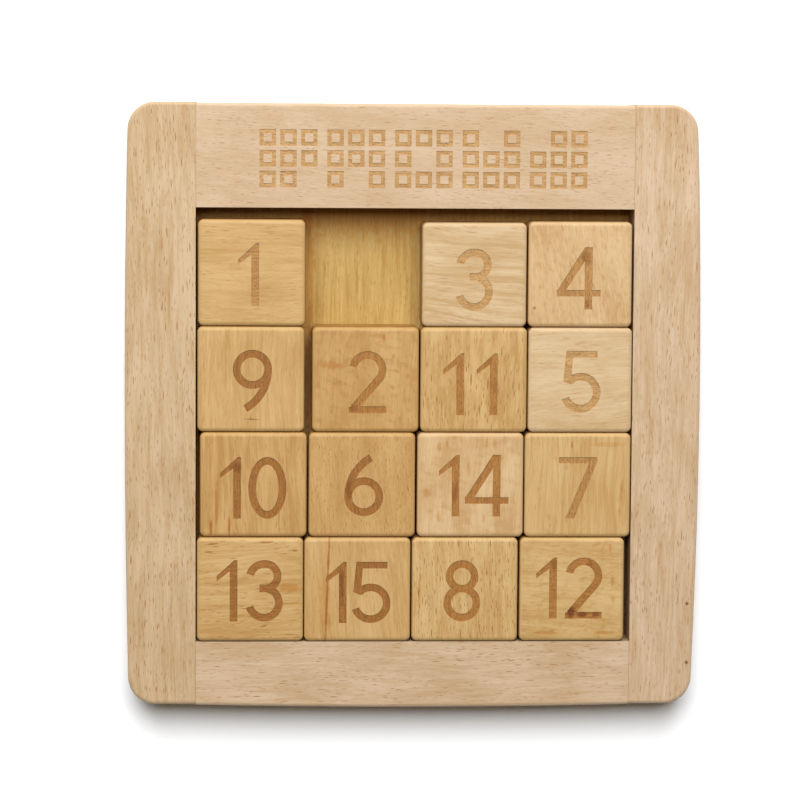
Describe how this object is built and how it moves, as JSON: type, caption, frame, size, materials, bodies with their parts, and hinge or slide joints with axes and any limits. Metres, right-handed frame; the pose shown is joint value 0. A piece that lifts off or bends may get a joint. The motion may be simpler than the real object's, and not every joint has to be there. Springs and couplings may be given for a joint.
{
  "type": "sliding tile puzzle",
  "caption": "Wooden sliding tile puzzle: a framed tray of loose, engraved number blocks with one cell left empty, so that the blocks can be slid into order.",
  "frame": {"origin": "under the middle of the whole tray, on the surface it lies on", "axes": "+Z out of the face, towards the reader; +Y up the face, towards the wide top rail; +X to the reader's right"},
  "size_m": [0.1878, 0.1978, 0.021],
  "materials": {
    "frame_beech": "pale pinkish beech, fine sanded, no varnish",
    "panel_beech": "yellower beech board, planed, thin clear coat",
    "dowel_beech": "turned, glued in, not seen",
    "block_beech": "waxed beech with laser-burnt brown engraving"
  },
  "bodies": {
    "tray": {"left_stile": "frame_beech", "right_stile": "frame_beech", "top_rail": "frame_beech", "bottom_rail": "frame_beech", "base_panel": "panel_beech", "dowels_top_left": "dowel_beech", "dowels_top_right": "dowel_beech", "dowels_bottom_left": "dowel_beech", "dowels_bottom_right": "dowel_beech"},
    "tile_01": {"tile_01": "block_beech"},
    "tile_02": {"tile_02": "block_beech"},
    "tile_03": {"tile_03": "block_beech"},
    "tile_04": {"tile_04": "block_beech"},
    "tile_05": {"tile_05": "block_beech"},
    "tile_06": {"tile_06": "block_beech"},
    "tile_07": {"tile_07": "block_beech"},
    "tile_08": {"tile_08": "block_beech"},
    "tile_09": {"tile_09": "block_beech"},
    "tile_10": {"tile_10": "block_beech"},
    "tile_11": {"tile_11": "block_beech"},
    "tile_12": {"tile_12": "block_beech"},
    "tile_13": {"tile_13": "block_beech"},
    "tile_14": {"tile_14": "block_beech"},
    "tile_15": {"tile_15": "block_beech"}
  },
  "joints": [
    {"name": "tile_01_lift", "type": "slide", "parent": "tray", "child": "tile_01", "axis": [0, 0, 1], "range_m": [0, 0.03]},
    {"name": "tile_02_slide", "type": "slide", "parent": "tray", "child": "tile_02", "axis": [0, 1, 0], "range_m": [0, 0.0382]},
    {"name": "tile_03_slide", "type": "slide", "parent": "tray", "child": "tile_03", "axis": [1, 0, 0], "range_m": [-0.0374, 0]},
    {"name": "tile_04_slide", "type": "slide", "parent": "tray", "child": "tile_04", "axis": [1, 0, 0], "range_m": [-0.0374, 0]},
    {"name": "tile_05_lift", "type": "slide", "parent": "tray", "child": "tile_05", "axis": [0, 0, 1], "range_m": [0, 0.03]},
    {"name": "tile_06_slide", "type": "slide", "parent": "tray", "child": "tile_06", "axis": [0, 1, 0], "range_m": [0, 0.0382]},
    {"name": "tile_07_lift", "type": "slide", "parent": "tray", "child": "tile_07", "axis": [0, 0, 1], "range_m": [0, 0.03]},
    {"name": "tile_08_lift", "type": "slide", "parent": "tray", "child": "tile_08", "axis": [0, 0, 1], "range_m": [0, 0.03]},
    {"name": "tile_09_lift", "type": "slide", "parent": "tray", "child": "tile_09", "axis": [0, 0, 1], "range_m": [0, 0.03]},
    {"name": "tile_10_lift", "type": "slide", "parent": "tray", "child": "tile_10", "axis": [0, 0, 1], "range_m": [0, 0.03]},
    {"name": "tile_11_lift", "type": "slide", "parent": "tray", "child": "tile_11", "axis": [0, 0, 1], "range_m": [0, 0.03]},
    {"name": "tile_12_lift", "type": "slide", "parent": "tray", "child": "tile_12", "axis": [0, 0, 1], "range_m": [0, 0.03]},
    {"name": "tile_13_lift", "type": "slide", "parent": "tray", "child": "tile_13", "axis": [0, 0, 1], "range_m": [0, 0.03]},
    {"name": "tile_14_lift", "type": "slide", "parent": "tray", "child": "tile_14", "axis": [0, 0, 1], "range_m": [0, 0.03]},
    {"name": "tile_15_lift", "type": "slide", "parent": "tray", "child": "tile_15", "axis": [0, 0, 1], "range_m": [0, 0.03]}
  ],
  "couplings": [
    {"joint": "tile_06_slide", "follows": "tile_02_slide", "ratio": 1},
    {"joint": "tile_04_slide", "follows": "tile_03_slide", "ratio": 1}
  ]
}
